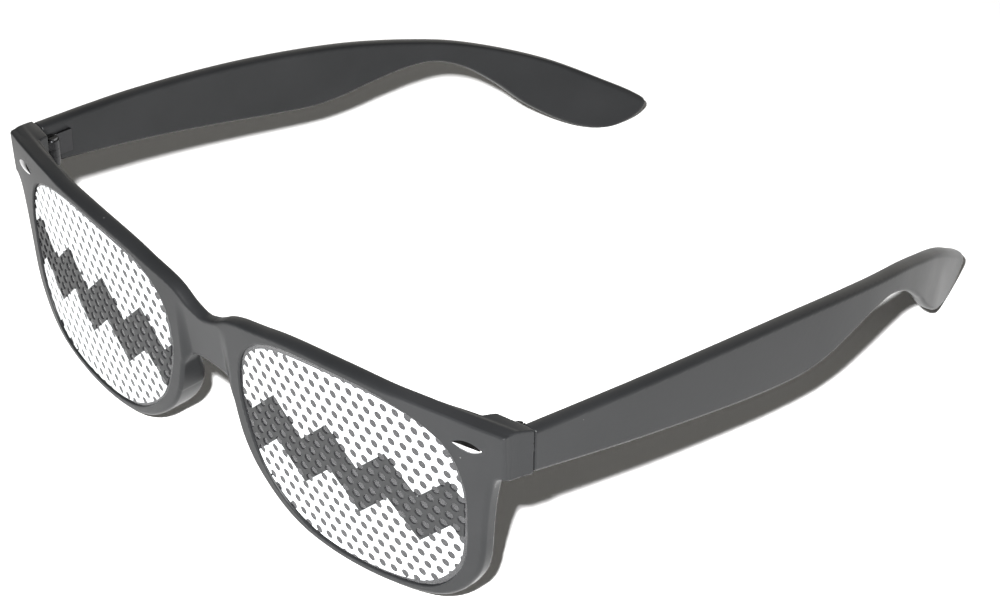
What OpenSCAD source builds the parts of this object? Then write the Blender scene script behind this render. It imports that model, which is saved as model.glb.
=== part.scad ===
// Novelty sunglasses: a broad-browed moulded frame, two dark lenses with perforated films,
// and two temples that fold on small metal hinges.
// +X is the wearer's left, the front faces -Y, +Z is up. Left and right are the wearer's.

/* [Lenses] */
// Width of a lens opening
lens_w = 54.4; // [50:0.2:58]
// Height of a lens opening
lens_h = 40.8; // [36:0.2:44]
// Distance between the two lens openings
bridge_gap = 20; // [17:0.5:24]
// Thickness of a lens
lens_t = 1.5; // [1.2:0.1:1.8]
// Radius that the lenses are curved to
lens_r = 200; // [180:5:260]
// How far a lens reaches into its groove
groove_depth = 0.9; // [0.6:0.1:1.2]
// How far the middle of a lens lies behind the face of the rim
lens_seat = 0.35; // [0.3:0.05:0.6]

/* [Films] */
// Thickness of a film
film_t = 0.2; // [0.15:0.05:0.4]
// Margin of bare lens around a film
film_margin = 0.7; // [0.4:0.1:1.5]
// Diameter of the holes in a film
hole_d = 1.75; // [1.4:0.05:1.8]
// Distance between neighbouring holes
hole_pitch = 2.6; // [2.4:0.05:3.2]
// Least width of film between a hole and the film's edge
hole_edge = 0.3; // [0.2:0.1:1]

/* [Front] */
// Width of the front on the outer side of a lens opening, at the brow
end_w = 8.1; // [7.5:0.1:9]
// Thickness of the front at its brow
rim_t = 3.8; // [3.6:0.1:4.6]
// Thickness of the rims below the brow
rim_low_t = 2.6; // [2.5:0.1:3.4]
// Height over which the brow thins to the rims
brow_fall = 10; // [6:1:16]
// Width of the rim below a lens
rim_low_w = 1.6; // [1.3:0.1:2.6]
// Width of the rim beside the nose
rim_nose_w = 3.6; // [2.8:0.1:4.2]
// Width of the rim on its outer side
rim_outer_w = 3.6; // [3.2:0.1:4.4]
// Height of the brow above a lens
brow_h = 1.7; // [1.6:0.1:3.2]
// Drop of a corner of the front below the brow
corner_drop = 0.6; // [0.2:0.1:1.4]
// Drop of the bridge below the brow
bridge_drop = 6.7; // [5:0.1:9]
// Height of the bridge at its middle
bridge_h = 10.9; // [8:0.1:12]
// Radius of the arch under the bridge
arch_r = 7; // [5.5:0.25:7.25]
// Depth of the hollow in the face of the bridge, at the arch
bridge_hollow = 1; // [0.4:0.1:1.2]
// Width of the hollow's floor
hollow_w = 11.4; // [9:0.2:12]
// Width of each of the hollow's slanted sides
hollow_side = 1.4; // [1:0.1:2]
// Radius that the front is bowed to, seen from above
bow_r = 208; // [190:2:260]
// Half width of the flat stretch across the bridge
flat_half = 12; // [8:0.5:16]
// Lean of the front, its foot towards the face
lean = 3.4; // [1:0.2:6]
// Depth of the flat worn on the foot of the rims
foot_flat = 0.15; // [0.05:0.05:0.4]

/* [End pieces] */
// Height of an end piece
lug_h = 9.3; // [8.6:0.1:9.8]
// Depth from the corner of the front to the temple
lug_depth = 6; // [5.6:0.1:7]
// How much wider the front is at the temples than at its corners, on each side
lug_flare = 1.2; // [0.6:0.1:1.4]
// Turn of the face that carries the hinge, seen from above
lug_turn = 15; // [10:1:20]
// How far the end piece keeps its full depth inwards of the hinge axis
lug_in = 2.8; // [2.6:0.1:3.4]
// Drop of the end piece's top from the corner to the temple
lug_fall = 0.5; // [0.3:0.1:0.8]
// Radius of the cove where an end piece runs into the rim below it
cove_r = 3.1; // [2.6:0.1:3.4]
// Length of an almond rivet
rivet_l = 6.3; // [5:0.1:6.6]
// Height of an almond rivet
rivet_h = 2.6; // [1.8:0.1:2.8]
// How far an almond rivet stands out
rivet_rise = 0.5; // [0.3:0.05:0.8]
// How deep an almond rivet is sunk into the plastic
rivet_sink = 1.2; // [0.8:0.1:1.8]
// Distance of an almond rivet's middle from the side of the front
rivet_in = 7.3; // [6.5:0.1:8.5]
// Distance of an almond rivet's middle below the corner's top
rivet_drop = 4.5; // [3:0.1:5]

/* [Nose pads] */
// Height of a nose pad
pad_h = 21; // [18:0.5:22]
// Height of a nose pad's lowest point above the foot of the rims
pad_low = 2; // [1.5:0.1:3]
// How far a nose pad stands out behind the rim
pad_reach = 4; // [2.4:0.1:4.4]

/* [Temples] */
// Length of a temple, hinge to tip, along the front-to-back axis
temple_l = 152; // [145:0.5:162]
// Thickness of a temple
temple_t = 3.3; // [3:0.1:4]
// Height of a temple at its deepest
temple_deep = 12.8; // [11:0.2:14]
// How far a temple bows out
temple_bow = 2.2; // [1:0.1:3]
// How far the tip of a temple turns in
tip_turn = 24; // [20:0.5:30]
// Height of a temple at its ear bend
bend_h = 5.6; // [5:0.1:7]
// Drop of the crook under the ear bend below the temple's top edge at the hinge
bend_drop = 18; // [16:0.5:20]

/* [Hinges] */
// Diameter of a hinge knuckle
knuckle_d = 3; // [2.6:0.1:3.4]
// Height of the stack of three knuckles
knuckle_stack = 5.4; // [5:0.1:6.4]
// Distance of the hinge axis behind the end piece
hinge_back = 1; // [0.8:0.1:1.2]
// Diameter of a hinge screw's shank
screw_d = 1.4; // [1.2:0.1:1.6]
// Diameter of a hinge screw's head
screw_head_d = 2.5; // [2.2:0.1:2.8]
// Height of a hinge screw's head
screw_head_h = 0.6; // [0.5:0.05:0.8]
// Width of the slot in a hinge screw's head
slot_w = 0.4; // [0.3:0.05:0.5]
// Thickness of a hinge leaf
leaf_t = 1; // [0.8:0.1:1.2]
// How deep the leaf on an end piece is moulded in
front_leaf_deep = 3; // [2:0.1:3.4]
// Length of the leaf on a temple
leaf_l = 4.8; // [4:0.1:7]
// Height of both leaves
leaf_h = 4.9; // [4.4:0.1:5.6]
// How deep a temple's leaf is sunk into it
leaf_sink = 0.6; // [0.4:0.1:0.8]
// Width of the foot that anchors a moulded-in leaf
anchor_w = 2.4; // [2:0.1:2.8]

/* [Fits] */
// Radial clearance of the middle knuckle on its screw
pivot_fit = 0.05; // [0.02:0.01:0.1]
// Clearance between stacked knuckles
stack_fit = 0.05; // [0.03:0.01:0.1]
// Clearance of what is pressed or snapped into the plastic
seat_fit = 0.04; // [0.02:0.01:0.1]
// Gap between an end piece and its temple
joint_gap = 0.15; // [0.1:0.05:0.3]
// Gap between a turning piece and what it passes
turn_gap = 0.3; // [0.2:0.05:0.4]

/* [Hidden] */
$fn = 64;
eps = 0.01;
// More than the size of anything that is cut
clear = 30;
// Steps of a curve between two of its points
curve_n = 5;

// Places in the plane of the front, with heights from the foot of the rims
lens_x = bridge_gap / 2 + lens_w / 2;
lens_z = rim_low_w + lens_h / 2 - foot_flat;
lens_top = lens_z + lens_h / 2;
brow_top = lens_top + brow_h;
corner_top = brow_top - corner_drop;
lug_z = corner_top - lug_h;
bridge_top = brow_top - bridge_drop;
arch_top = bridge_top - bridge_h;
arch_z = arch_top - arch_r;

// Line that the front leans about
lean_y = 3;
lean_z = 40;

// Plan of the front: flat across the bridge, then bowed
function face_y(x) = pow(max(0, abs(x) - flat_half), 2) / (2 * bow_r);
function face_turn(x) = atan(max(0, abs(x) - flat_half) / bow_r);
corner_x = lens_x + lens_w / 2 + end_w;
corner_y = face_y(corner_x);
joint_x = corner_x + lug_flare;
joint_y = corner_y + lug_depth;

// Hinge: its axis, the distance that its middle knuckle keeps, and the place of the temple's leaf
knuckle_r = knuckle_d / 2;
knuckle_h = knuckle_stack / 3;
screw_r = screw_d / 2;
swing_r = knuckle_r + turn_gap;
hinge_x = joint_x - temple_t - swing_r;
hinge_y = joint_y + hinge_back;
hinge_z = corner_top - lug_h / 2 - 0.7;
arm_t = 1.1;
leaf_y = hinge_y + knuckle_r - arm_t + turn_gap + 0.4;
leaf_x = joint_x - temple_t - leaf_t + leaf_sink;

// The whole model stands with the middle of its box over the origin
temple_y = joint_y + joint_gap;
mid_y = (temple_y + temple_l) / 2;

// Outline of a lens opening, as shares of its half width and half height, from the nose round by the top
lens_shape = [[-0.99, 0.28], [-0.91, 0.68], [-0.62, 0.93], [-0.1, 1], [0.4, 0.97], [0.82, 0.78], [0.98, 0.4],
              [0.995, -0.1], [0.93, -0.55], [0.7, -0.88], [0.3, -0.99], [-0.15, -0.98], [-0.5, -0.85],
              [-0.79, -0.53], [-0.94, -0.12]];

// Curve through points: a cubic between each two, with slopes set by their neighbours
function bend_at(a, b, c, d, t) =
    0.5 * (2 * b + (c - a) * t + (2 * a - 5 * b + 4 * c - d) * t * t + (3 * b - a - 3 * c + d) * t * t * t);
function ring(points) = let (m = len(points), n = curve_n)
    [for (i = [0:m - 1]) for (k = [0:n - 1])
        bend_at(points[(i + m - 1) % m], points[i], points[(i + 1) % m], points[(i + 2) % m], k / n)];
function path(points) = let (m = len(points), n = curve_n)
    [for (i = [0:m - 2]) for (k = [0:n - (i < m - 2 ? 1 : 0)])
        bend_at(points[max(i - 1, 0)], points[i], points[i + 1], points[min(i + 2, m - 1)], k / n)];
// Unit normal of a closed outline at point i, pointing out of an outline that runs clockwise
function out_at(p, i) = let (m = len(p), v = p[(i + 1) % m] - p[(i + m - 1) % m]) [-v[1], v[0]] / norm(v);
// Width of the rim where its outward normal is v
function rim_w(v) = let (side = v[0] > 0 ? rim_outer_w : rim_nose_w, up = v[1] > 0 ? brow_h : rim_low_w)
    side * v[0] * v[0] + up * v[1] * v[1];

lens_outline = ring([for (p = lens_shape) [lens_x + p[0] * lens_w / 2, lens_z + p[1] * lens_h / 2]]);
function grown(d) = [for (i = [0:len(lens_outline) - 1]) lens_outline[i] + out_at(lens_outline, i) * d];
rim_outline = [for (i = [0:len(lens_outline) - 1])
    let (v = out_at(lens_outline, i)) lens_outline[i] + v * rim_w(v)];

// Where the arch's side meets the flank that runs down to the rim, and the rim's point that the flank ends at
arch_turn = 68;
shoulder = [arch_r * sin(arch_turn), arch_z + arch_r * cos(arch_turn)];
flank_i = (len(lens_shape) - 1) * curve_n;

// Top edge of the bridge: shares of the gap between the lenses and of the bridge's drop
bridge_shape = [[0.15, 0.1], [0.25, 0.23], [0.31, 0.31], [0.375, 0.39], [0.475, 0.49], [0.65, 0.61]];
bridge_rise = [for (p = bridge_shape) [p[0] * bridge_gap, bridge_top + p[1] * bridge_drop]];
// Top edge of the brow, from just past the middle of the bridge to the corner
brow_rise = [for (p = [[-0.28, 0.18], [-0.02, 0.04], [0.235, 0]])
    [lens_x + p[0] * lens_w, brow_top - p[1] * bridge_drop]];
brow_line = path(concat([[-bridge_rise[0][0], bridge_rise[0][1]], [0, bridge_top]], bridge_rise, brow_rise,
                        [[corner_x - 1.1 * end_w, brow_top - corner_drop / 3], [corner_x, corner_top]]));

// Stands a drawing in X and Z upright, through the thickness of the front
module upright() {
    translate([0, clear, 0]) rotate([90, 0, 0]) linear_extrude(height = 2 * clear) children();
}

// Leans the front back about a line near its top
module leaned() {
    translate([0, lean_y, lean_z]) rotate([lean, 0, 0]) translate([0, -lean_y, -lean_z]) children();
}

module both_sides() {
    children();
    mirror([1, 0, 0]) children();
}

module right() {
    mirror([1, 0, 0]) children();
}

module centred() {
    translate([0, -mid_y, 0]) children();
}

module at_hinge() {
    translate([hinge_x, hinge_y, hinge_z]) children();
}

// What lies below the surface that the part stands on
module below_floor() {
    translate([-2 * corner_x, -clear, -clear]) cube([4 * corner_x, temple_l + 3 * clear, clear]);
}

// Front view of one half, without its lens opening. A flank joins the arch's flat side to the rim.
module half_front() {
    inner_x = lens_x - lens_w / 2 + 3;
    outer_x = lens_x + lens_w / 2 - 3;
    flank = rim_outline[flank_i];
    polygon(rim_outline);
    polygon(concat(brow_line,
        [[corner_x, lug_z], [corner_x - 0.5 * cove_r, lug_z - 0.1 * cove_r],
         [corner_x - 0.85 * cove_r, lug_z - 0.6 * cove_r], [corner_x - 1.1 * cove_r, lug_z - 1.6 * cove_r],
         [corner_x - 1.35 * cove_r, lug_z - 3.1 * cove_r], [corner_x - 1.7 * cove_r, lug_z - 4.7 * cove_r],
         [outer_x, lug_z - 5.6 * cove_r], [outer_x, lens_z], [inner_x, lens_z], [inner_x, flank[1]],
         flank, shoulder, [-bridge_rise[0][0], shoulder[1]]]));
}

// Band that the front is cut from, seen from above, from ahead of its face to depth t behind it
module bowed_band(ahead, t) {
    steps = [for (i = [-25:25]) i * (corner_x + 1) / 25];
    polygon(concat([for (x = steps) [x, face_y(x) - ahead]],
        [for (i = [len(steps) - 1:-1:0]) [steps[i], face_y(steps[i]) + t]]));
}

// The front's thickness: rims of one thickness, and a brow that thickens towards its top
module front_slab() {
    fall = atan((rim_t - rim_low_t) / brow_fall);
    h = brow_top + clear;
    translate([0, 0, -clear / 2]) linear_extrude(height = h) bowed_band(0, rim_low_t);
    intersection() {
        translate([0, 0, -clear / 2]) linear_extrude(height = h) bowed_band(0, rim_t);
        translate([0, 0, brow_top]) rotate([-fall, 0, 0]) translate([0, 0, -brow_top - clear / 2])
            linear_extrude(height = h) bowed_band(clear, rim_t);
    }
}

// Curved sheet that a lens is cut from, from depth a to depth b behind the lens's front
module lens_sheet(a, b) {
    translate([lens_x, face_y(lens_x) + lens_seat, -clear / 2]) rotate([0, 0, face_turn(lens_x)])
        translate([0, lens_r, 0]) difference() {
            cylinder(r = lens_r - a, h = lens_top + clear, $fn = 180);
            translate([0, 0, -1]) cylinder(r = lens_r - b, h = lens_top + clear + 2, $fn = 180);
        }
}

// A piece of that sheet with the outline of the lens opening grown by d
module lens_piece(d, a, b) {
    intersection() {
        upright() polygon(grown(d));
        lens_sheet(a, b);
    }
}

// Places children at the almond rivet, with Z pointing out of the face
module at_rivet() {
    x = corner_x - rivet_in;
    translate([x, face_y(x), corner_top - rivet_drop]) rotate([90, 0, face_turn(x)]) children();
}

// Almond: the overlap of two round discs
module almond(l, h, z0, z1) {
    r = (l * l + h * h) / (4 * h);
    translate([0, 0, z0]) intersection() {
        translate([0, r - h / 2, 0]) cylinder(r = r, h = z1 - z0);
        translate([0, h / 2 - r, 0]) cylinder(r = r, h = z1 - z0);
    }
}

// Side view of the end piece: its top falls from the corner to the temple, and its bottom is level
module end_side() {
    margin = 0.15;
    top = lean_z + (corner_top - lean_z) * cos(lean) + (corner_y - lean_y) * sin(lean);
    rotate([90, 0, 90]) linear_extrude(height = 2 * corner_x)
        polygon([[-clear, lug_z + margin], [joint_y + 1, lug_z + margin],
                 [joint_y + 1, top - lug_fall * (1 + 1 / lug_depth)], [corner_y, top], [-clear, top]]);
}

// Block that turns the corner, with a slanted face that keeps clear of the middle knuckle
module end_block() {
    along = [cos(lug_turn), sin(lug_turn)];
    foot = [hinge_x, hinge_y] + swing_r * [along[1], -along[0]];
    heel_x = hinge_x - 12;
    shelf_x = hinge_x - lug_in;
    intersection() {
        end_side();
        translate([0, 0, -clear]) linear_extrude(height = brow_top + 2 * clear)
            polygon([[heel_x, face_y(heel_x) + rim_t / 2], [corner_x, corner_y + rim_t / 4],
                     [joint_x, joint_y], foot + along * (joint_y - foot[1]) / along[1],
                     foot + along * (shelf_x - foot[0]) / along[0],
                     [shelf_x - lug_in / 3, face_y(shelf_x) + rim_t],
                     [heel_x, face_y(heel_x) + rim_t - 0.2]]);
    }
}

// Nose pad: the side of the rim beside the nose, carried on behind it
module nose_pad() {
    last = flank_i - 2 * curve_n;
    n = len(lens_outline);
    hold = grown(groove_depth + turn_gap);
    swell = [[0, 0], [0.6, 0.07], [0.88, 0.2], [0.97, 0.36], [1, 0.52], [0.95, 0.7], [0.6, 0.88], [0, 1]];
    back = path([for (p = swell) [rim_low_t + p[0] * pad_reach, pad_low + p[1] * pad_h]]);
    top = shoulder + 0.15 * (rim_outline[flank_i] - shoulder);
    intersection() {
        upright() polygon(concat([top], [for (i = [flank_i:-1:last]) rim_outline[i]],
                                 [for (i = [last:n + curve_n]) hold[i % n]]));
        rotate([90, 0, 90]) linear_extrude(height = lens_x)
            polygon(concat(back, [[rim_low_t / 2, pad_low + pad_h], [rim_low_t / 2, pad_low]]));
    }
}

// Part of a front leaf that is moulded in: a plate square to the slanted face, with a foot across its end
module front_leaf_root(fit) {
    at_hinge() rotate([0, 0, lug_turn]) {
        translate([-leaf_t / 2 - fit, -swing_r - front_leaf_deep - fit, -leaf_h / 2 - fit])
            cube([leaf_t + 2 * fit, front_leaf_deep + fit + eps, leaf_h + 2 * fit]);
        translate([-anchor_w / 2 - fit, -swing_r - front_leaf_deep - fit, -leaf_h / 2 - fit])
            cube([anchor_w + 2 * fit, leaf_t + 2 * fit, leaf_h + 2 * fit]);
    }
}

// Hollow in the face of the bridge: a flat floor between two slanted sides, which runs out at the top edge
module hollow() {
    side = hollow_w / 2 + 3 * hollow_side;
    run = bridge_h + arch_r;
    translate([0, 0, bridge_top]) rotate([asin(bridge_hollow / bridge_h), 0, 0]) translate([0, 0, -run])
        linear_extrude(height = 2 * run)
            polygon([[-side, -3 * bridge_hollow], [-hollow_w / 2, 0], [hollow_w / 2, 0],
                     [side, -3 * bridge_hollow]]);
}

module frame_front() {
    color("#34373a") centred() difference() {
        union() {
            leaned() difference() {
                intersection() {
                    upright() both_sides() half_front();
                    front_slab();
                }
                both_sides() upright() polygon(lens_outline);
                both_sides() lens_piece(groove_depth, -seat_fit, lens_t + seat_fit);
                translate([0, 0, arch_z]) rotate([90, 0, 0]) cylinder(r = arch_r, h = clear, center = true);
                hollow();
                both_sides() at_rivet()
                    almond(rivet_l + 2 * seat_fit, rivet_h + 2 * seat_fit, -rivet_sink - seat_fit, 1);
            }
            both_sides() difference() {
                end_block();
                leaned() upright() polygon(grown(groove_depth + turn_gap));
            }
            leaned() both_sides() nose_pad();
        }
        both_sides() front_leaf_root(seat_fit);
        below_floor();
    }
}

module lens() {
    color([0.1, 0.1, 0.11, 0.8]) centred() leaned() lens_piece(groove_depth - seat_fit, 0, lens_t);
}

// True where p lies inside a closed outline: an odd number of edges lie to its right
function inside(o, p) = let (m = len(o), hits = [for (i = [0:m - 1])
    let (a = o[i], b = o[(i + 1) % m])
        if ((a[1] > p[1]) != (b[1] > p[1]) && p[0] < a[0] + (p[1] - a[1]) / (b[1] - a[1]) * (b[0] - a[0])) 1])
    len(hits) % 2 == 1;

// Rows of holes, each row set half a pitch from the next
module hole_grid() {
    row = hole_pitch * sin(60);
    nx = ceil(lens_w / 2 / hole_pitch);
    nz = ceil(lens_h / 2 / row);
    edge = grown(-film_margin - hole_d / 2 - hole_edge);
    for (j = [-nz:nz]) for (i = [-nx:nx]) {
        p = [lens_x + (i + (abs(j) % 2) / 2) * hole_pitch, lens_z + j * row];
        if (inside(edge, p)) translate(p) circle(d = hole_d, $fn = 20);
    }
}

module film() {
    color("#eef1f2") centred() leaned() intersection() {
        upright() difference() {
            polygon(grown(-film_margin));
            hole_grid();
        }
        lens_sheet(-film_t, 0);
    }
}

// Side view of a temple, as shares of its length and heights above the floor
temple_top = corner_top - 0.3;
temple_low = lug_z + 0.25;
bend_z = temple_top - bend_drop;
temple_upper = concat(
    [for (p = [[0, 0], [0.16, 0.078], [0.34, 0.222], [0.51, 0.433]]) [p[0], temple_top - p[1] * bend_drop]],
    [[0.65, bend_z + bend_h], [0.74, bend_z + bend_h - 0.222 * bend_drop]],
    [for (p = [[0.85, 0.455], [0.94, 0.27], [0.985, 0.167], [1, 0.111]]) [p[0], p[1] * temple_top]]);
tip_shape = [[0.99, 0.051], [0.965, 0.007], [0.93, -0.007], [0.88, 0.056], [0.82, 0.2], [0.77, 0.367],
             [0.72, 0.502]];
temple_lower = concat(
    [for (p = tip_shape) [p[0], p[1] * temple_top]],
    [[0.67, bend_z - 0.2], [0.62, bend_z], [0.57, bend_z - 1]],
    [for (p = [[0.5, 0.422], [0.42, 0.378]]) [p[0], temple_top - p[1] * bend_drop - temple_deep]],
    [[0.2, temple_low - 0.278 * bend_drop], [0, temple_low]]);
function temple_side() = concat(path(temple_upper), path(temple_lower));
// Plan of a temple's outer face: shares of its length, of its bow outwards and of its turn inwards
temple_plan_shape = [[0, 0, 0], [0.16, 0.55, 0], [0.33, 0.88, 0.04], [0.49, 1, 0.12], [0.59, 0.97, 0.2],
                     [0.68, 0.87, 0.31], [0.76, 0.73, 0.45], [0.84, 0.54, 0.63], [0.92, 0.29, 0.83],
                     [1, 0, 1]];
temple_outer = path([for (p = temple_plan_shape)
    [joint_x + temple_bow * p[1] - tip_turn * p[2], temple_y + temple_l * p[0]]]);
// Inner face: a thickness away, square to the outer face
temple_inner = let (o = temple_outer, m = len(o)) [for (i = [0:m - 1])
    let (v = o[min(i + 1, m - 1)] - o[max(i - 1, 0)]) o[i] - [temple_t * norm(v) / v[1], 0]];
function reversed(p) = [for (i = [len(p) - 1:-1:0]) p[i]];

// Part of a temple's leaf that is let into the temple: a plate, and the root of the knuckle's arm
module temple_leaf_plate(fit) {
    root_h = knuckle_h - 2 * stack_fit;
    root_y = hinge_y + knuckle_r - arm_t;
    translate([leaf_x - fit, leaf_y - fit, hinge_z - leaf_h / 2 - fit])
        cube([leaf_t + 2 * fit, leaf_l + 2 * fit, leaf_h + 2 * fit]);
    translate([leaf_x - fit, root_y - fit, hinge_z - root_h / 2 - fit])
        cube([leaf_t + 2 * fit, leaf_y - root_y + 2 * fit + eps, root_h + 2 * fit]);
}

module temple() {
    color("#34373a") centred() difference() {
        intersection() {
            rotate([90, 0, 90]) linear_extrude(height = joint_x + clear)
                polygon([for (p = temple_side()) [temple_y + p[0] * temple_l, p[1]]]);
            translate([0, 0, -clear]) linear_extrude(height = temple_top + 2 * clear)
                polygon(concat(temple_outer, reversed(temple_inner)));
        }
        temple_leaf_plate(seat_fit);
        below_floor();
    }
}

// Leaf on the end piece: its moulded-in root, and an upper and a lower knuckle on arms
module front_leaf() {
    color("silver") centred() difference() {
        union() {
            front_leaf_root(0);
            at_hinge() for (z = [-knuckle_stack / 2, knuckle_stack / 2 - knuckle_h]) translate([0, 0, z]) {
                cylinder(r = knuckle_r, h = knuckle_h);
                rotate([0, 0, lug_turn]) translate([-knuckle_r, -swing_r + seat_fit, 0])
                    cube([knuckle_r + leaf_t / 2, swing_r - seat_fit, knuckle_h]);
            }
            at_hinge() rotate([0, 0, lug_turn]) translate([-leaf_t / 2, -swing_r - eps, -leaf_h / 2])
                cube([leaf_t, seat_fit + 2 * eps, leaf_h]);
        }
        at_hinge() cylinder(r = screw_r + seat_fit / 2, h = 2 * knuckle_stack, center = true);
    }
}

// Leaf on the temple: a plate sunk into its inner face, and the middle knuckle on an arm
module temple_leaf() {
    h = knuckle_h - 2 * stack_fit;
    reach = leaf_x + leaf_t - hinge_x;
    color("silver") centred() difference() {
        union() {
            temple_leaf_plate(0);
            at_hinge() translate([0, 0, -h / 2]) {
                cylinder(r = knuckle_r, h = h);
                translate([0, knuckle_r - arm_t, 0]) cube([reach, arm_t, h]);
            }
        }
        at_hinge() cylinder(r = screw_r + pivot_fit, h = 2 * knuckle_stack, center = true);
    }
}

module hinge_screw() {
    color("gainsboro") centred() at_hinge() translate([0, 0, knuckle_stack / 2]) difference() {
        union() {
            translate([0, 0, -knuckle_stack]) cylinder(r = screw_r, h = knuckle_stack + eps);
            cylinder(d = screw_head_d, h = screw_head_h);
        }
        translate([-slot_w / 2, -screw_head_d, screw_head_h / 2])
            cube([slot_w, 2 * screw_head_d, screw_head_h]);
    }
}

// Domed almond head on a shank of the same outline
module rivet() {
    dome_r = (rivet_l * rivet_l / 4 + rivet_rise * rivet_rise) / (2 * rivet_rise);
    color("silver") centred() leaned() at_rivet() intersection() {
        almond(rivet_l, rivet_h, -rivet_sink, rivet_rise);
        translate([0, 0, rivet_rise - dome_r]) sphere(r = dome_r, $fn = 96);
    }
}

frame_front();
lens();  // lens_left
right() lens();  // lens_right
film();  // film_left
right() film();  // film_right
temple();  // temple_left
right() temple();  // temple_right
front_leaf();  // front_leaf_left
right() front_leaf();  // front_leaf_right
temple_leaf();  // temple_leaf_left
right() temple_leaf();  // temple_leaf_right
hinge_screw();  // hinge_screw_left
right() hinge_screw();  // hinge_screw_right
rivet();  // rivet_left
right() rivet();  // rivet_right
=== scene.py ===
"""Novelty sunglasses: the visible pieces, their materials, the camera, the light and the floor.

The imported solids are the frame, which nothing here moves. The black front, the temples, the lenses, the films
and the rivets are built again as smooth surfaces that stand for their solids. The hinges stay and get metal.
Shapes are worked out in millimetres: +X is the wearer's left, +Y runs from the bridge's face to the temples'
tips, and +Z is up. What goes into Blender is in metres, with its Y counted from the part's middle, as the
solids have it.
"""

import math

import bpy
import numpy as np
from mathutils import Matrix, Vector
from mathutils.geometry import delaunay_2d_cdt


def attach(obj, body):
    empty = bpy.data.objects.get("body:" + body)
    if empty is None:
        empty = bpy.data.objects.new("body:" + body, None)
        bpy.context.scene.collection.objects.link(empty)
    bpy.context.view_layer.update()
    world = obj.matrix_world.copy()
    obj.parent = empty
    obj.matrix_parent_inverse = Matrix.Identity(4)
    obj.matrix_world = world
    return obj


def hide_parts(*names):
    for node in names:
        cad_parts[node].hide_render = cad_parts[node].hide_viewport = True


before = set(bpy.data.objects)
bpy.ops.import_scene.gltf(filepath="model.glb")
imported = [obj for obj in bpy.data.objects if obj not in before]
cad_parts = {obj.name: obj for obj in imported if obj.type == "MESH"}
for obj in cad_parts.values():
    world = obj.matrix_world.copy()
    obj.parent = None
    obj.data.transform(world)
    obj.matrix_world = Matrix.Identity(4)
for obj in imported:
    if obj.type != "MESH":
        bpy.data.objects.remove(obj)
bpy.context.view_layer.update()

# Sizes, the same as the solids'

# Lens openings: width, height and the gap between them. Lenses: thickness, radius, depth behind the face
LENS_W, LENS_H, GAP = 54.4, 40.8, 20.0
LENS_T, LENS_R, LENS_SEAT = 1.5, 200.0, 0.35
# Films: thickness and margin. Their holes: diameter and pitch
FILM_T, FILM_MARGIN = 0.2, 0.7
HOLE_D, HOLE_PITCH = 1.75, 2.6
# Front: width outside an opening, thickness at the brow and at the rims, height over which the brow thins out
END_W, RIM_T, RIM_LOW_T, BROW_FALL = 8.1, 3.8, 2.6, 10.0
# Width of the rim below an opening, beside the nose and on the outer side, and height of the brow over it
RIM_LOW_W, RIM_NOSE_W, RIM_OUTER_W, BROW_H = 1.6, 3.6, 3.6, 1.7
# Drop of the corner and of the bridge below the brow, the bridge's height and the radius of the arch under it
CORNER_DROP, BRIDGE_DROP, BRIDGE_H, ARCH_R = 0.6, 6.7, 10.9, 7.0
# Hollow in the bridge's face: depth at the arch, width of its floor, width of each slanted side
HOLLOW, HOLLOW_W, HOLLOW_SIDE = 1.0, 11.4, 1.4
# The front's bow: radius, and half width of the flat stretch. Its lean, and the flat worn on the rims' foot
BOW_R, FLAT_HALF, LEAN, FOOT = 208.0, 12.0, 3.4, 0.15
# End pieces: height, depth, flare outwards, turn of the hinge's face, reach inwards, and fall of the top
LUG_H, LUG_DEPTH, LUG_FLARE, LUG_TURN, LUG_IN, LUG_FALL = 9.3, 6.0, 1.2, 15.0, 2.8, 0.5
# Radius of the cove under an end piece
COVE_R = 3.1
# Nose pads: height, height of the lower end, and reach behind the rim
PAD_H, PAD_LOW, PAD_REACH = 21.0, 2.0, 4.0
# Rivets: length, height, rise, and distances inwards and down from the corner
RIVET_L, RIVET_H, RIVET_RISE, RIVET_IN, RIVET_DROP = 6.3, 2.6, 0.5, 7.3, 4.5
# Temples: length, thickness, height where they are deepest, bow outwards, and turn inwards at the tip
TEMPLE_L, TEMPLE_T, TEMPLE_DEEP, TEMPLE_BOW, TIP_TURN = 152.0, 3.3, 12.8, 2.2, 24.0
# A temple's ear bend: its height, and the drop of its lower edge below the top at the hinge
BEND_H, BEND_DROP = 5.6, 18.0
# Hinges: gap at the joint, gap round what turns, knuckles' radius, and the axis's distance behind the joint
JOINT_GAP, TURN_GAP, KNUCKLE_R, HINGE_BACK = 0.15, 0.3, 1.5, 1.0

# Places that follow from the sizes
LENS_X = GAP / 2 + LENS_W / 2
LENS_Z = RIM_LOW_W + LENS_H / 2 - FOOT
BROW_TOP = LENS_Z + LENS_H / 2 + BROW_H
CORNER_TOP = BROW_TOP - CORNER_DROP
LUG_Z = CORNER_TOP - LUG_H
BRIDGE_TOP = BROW_TOP - BRIDGE_DROP
ARCH_Z = BRIDGE_TOP - BRIDGE_H - ARCH_R
LEAN_Y, LEAN_Z = 3.0, 40.0
LEAN_COS, LEAN_SIN = math.cos(math.radians(LEAN)), math.sin(math.radians(LEAN))


def face_y(x):
    """Depth of the front's face at x: flat across the bridge, then bowed as a parabola."""
    return np.maximum(np.abs(x) - FLAT_HALF, 0) ** 2 / (2 * BOW_R)


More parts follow.
